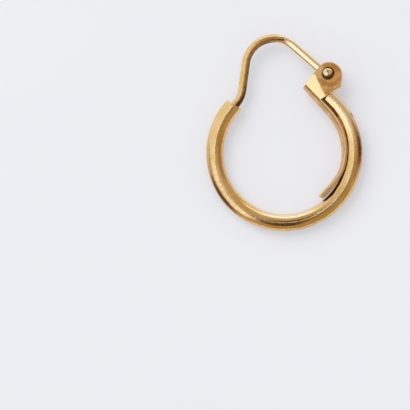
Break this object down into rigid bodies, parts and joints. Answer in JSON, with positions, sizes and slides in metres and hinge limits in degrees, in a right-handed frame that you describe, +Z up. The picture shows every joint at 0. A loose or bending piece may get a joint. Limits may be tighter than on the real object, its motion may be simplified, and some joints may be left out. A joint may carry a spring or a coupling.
{
  "type": "hoop earring",
  "caption": "Plain gold hoop earring: hollow round hoop with a folded hinge bracket and a bent ear wire that swings on a rivet and closes into the hoop's open end.",
  "frame": {"origin": "on the surface the earring lies on, under the middle of its bounding box", "axes": "+Y from the hoop towards the top of the ear wire, +X to the hinge side, +Z up from the surface it lies on"},
  "size_m": [0.016, 0.0202, 0.003],
  "materials": {
    "hoop_gold": "polished yellow gold, lightly tarnished, with a satin lug",
    "rivet_gold": "polished paler gold",
    "wire_gold": "polished yellow gold, tarnished where it enters the hoop"
  },
  "bodies": {
    "hoop": {"hoop_with_hinge_bracket": "hoop_gold", "hinge_rivet": "rivet_gold"},
    "ear_wire": {"ear_wire": "wire_gold"}
  },
  "joints": [
    {"name": "ear_wire_hinge", "type": "hinge", "parent": "hoop", "child": "ear_wire", "pos_m": [0.00526, 0.00552, 0.00152], "axis": [0.0223, 0.0324, -0.9992], "range_deg": [0, 180]}
  ]
}
